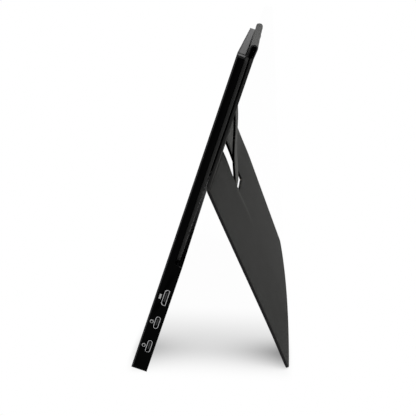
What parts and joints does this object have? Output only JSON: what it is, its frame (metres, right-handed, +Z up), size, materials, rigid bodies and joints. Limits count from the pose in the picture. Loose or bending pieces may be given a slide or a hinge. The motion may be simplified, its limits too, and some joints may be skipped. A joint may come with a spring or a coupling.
{
  "type": "portable monitor with folding cover",
  "caption": "Slim portable monitor leaning back on its folding leather cover: the cover loops over the top edge, and its lower panel opens behind the screen as a strutted stand.",
  "frame": {"origin": "on the table, in the middle of the footprint of the monitor standing on its cover", "axes": "+X to the right as seen from the front, along the screen's width; the screen faces -Y and leans back towards +Y; +Z up"},
  "size_m": [0.3565, 0.1072, 0.2217],
  "materials": {
    "black_plastic": "fine matte black",
    "adhesive": "black adhesive tape",
    "screen_glass": "dark semi-gloss screen surface",
    "white_film": "white diffusing film",
    "clear_acrylic": "clear acrylic sheet",
    "led_bar": "light emitting bar",
    "sheet_steel": "zinc plated sheet steel",
    "flex_amber": "amber polyimide film",
    "board_green": "green circuit board",
    "cable_black": "black flat cable",
    "cable_white": "white flat cable",
    "chip_black": "black moulded chip",
    "socket_steel": "satin nickel plated steel",
    "contact_black": "black moulded insulator",
    "speaker_black": "matte black plastic",
    "cone_grey": "grey treated paper",
    "magnet_nickel": "nickel plated magnet",
    "case_black": "satin black anodised",
    "mark_white": "printed white",
    "button_black": "satin black",
    "grey_board": "pressed fibre board",
    "cover_leather": "dark grey grained leather",
    "cover_lining": "dark grey fine-grained leather"
  },
  "bodies": {
    "monitor": {"front_bezel": "black_plastic", "bezel_tape": "adhesive", "display_cell": "screen_glass", "diffuser_sheets": "white_film", "light_guide": "clear_acrylic", "led_strip": "led_bar", "backlight_tray": "sheet_steel", "tray_tape": "adhesive", "panel_flexes": "flex_amber", "driver_board": "board_green", "signal_cable": "cable_black", "main_board": "board_green", "shield_can": "sheet_steel", "board_chips": "chip_black", "video_socket": "socket_steel", "video_blade": "contact_black", "usb_socket_upper": "socket_steel", "usb_socket_lower": "socket_steel", "usb_blade_upper": "contact_black", "usb_blade_lower": "contact_black", "key_board": "board_green", "key_switches": "contact_black", "key_cable": "cable_white", "audio_jack": "contact_black", "speaker_left": "speaker_black", "speaker_right": "speaker_black", "speaker_cones": "cone_grey", "board_screws": "socket_steel", "case_magnets": "magnet_nickel", "rear_cover": "case_black", "port_marks": "mark_white", "plate_board": "grey_board", "plate_wrap": "cover_leather", "plate_lining": "cover_lining", "plate_magnets": "magnet_nickel", "spine_plate_side": "cover_leather"},
    "power_button": {"power_button": "button_black"},
    "menu_rocker": {"menu_rocker": "button_black"},
    "spine": {"spine_top": "cover_leather"},
    "flap": {"spine_flap_side": "cover_leather", "flap_board": "grey_board", "flap_wrap": "cover_leather", "flap_lining": "cover_lining", "flap_magnets": "magnet_nickel", "stand_fold_leather": "cover_leather", "strut_fold_leather": "cover_leather"},
    "stand": {"stand_board": "grey_board", "stand_wrap": "cover_leather", "stand_lining": "cover_lining", "stand_magnets": "magnet_nickel"},
    "strut": {"strut_board": "grey_board", "strut_wrap": "cover_leather", "strut_lining": "cover_lining"}
  },
  "joints": [
    {"name": "spine_fold", "type": "hinge", "parent": "monitor", "child": "spine", "pos_m": [0, 0.02117, 0.2195], "axis": [1, 0, 0], "range_deg": [0, 165], "deforming": ["spine_plate_side", "spine_top"]},
    {"name": "flap_fold", "type": "hinge", "parent": "spine", "child": "flap", "pos_m": [0, 0.02584, 0.21802], "axis": [1, 0, 0], "range_deg": [0, 165], "deforming": ["spine_flap_side"]},
    {"name": "stand_fold", "type": "hinge", "parent": "flap", "child": "stand", "pos_m": [0, -0.00388, 0.12747], "axis": [-1, 0, 0], "range_deg": [0, 38.5], "deforming": ["stand_fold_leather"]},
    {"name": "strut_fold", "type": "hinge", "parent": "flap", "child": "strut", "pos_m": [0, 0.00802, 0.16223], "axis": [-1, 0, 0], "range_deg": [0, 19.25], "deforming": ["strut_fold_leather"]},
    {"name": "power_press", "type": "slide", "parent": "monitor", "child": "power_button", "axis": [1, 0, 0], "range_m": [0, 0.0004], "stiffness_N_per_m": 2000, "springref_m": -0.0004},
    {"name": "rocker_tilt", "type": "hinge", "parent": "monitor", "child": "menu_rocker", "pos_m": [-0.1768, -0.03375, 0.04305], "axis": [0, 0.9535, -0.3014], "range_deg": [-2, 2], "stiffness_Nm_per_rad": 0.2}
  ],
  "couplings": [
    {"joint": "flap_fold", "follows": "spine_fold", "ratio": 1},
    {"joint": "strut_fold", "follows": "stand_fold", "ratio": 0.5}
  ]
}
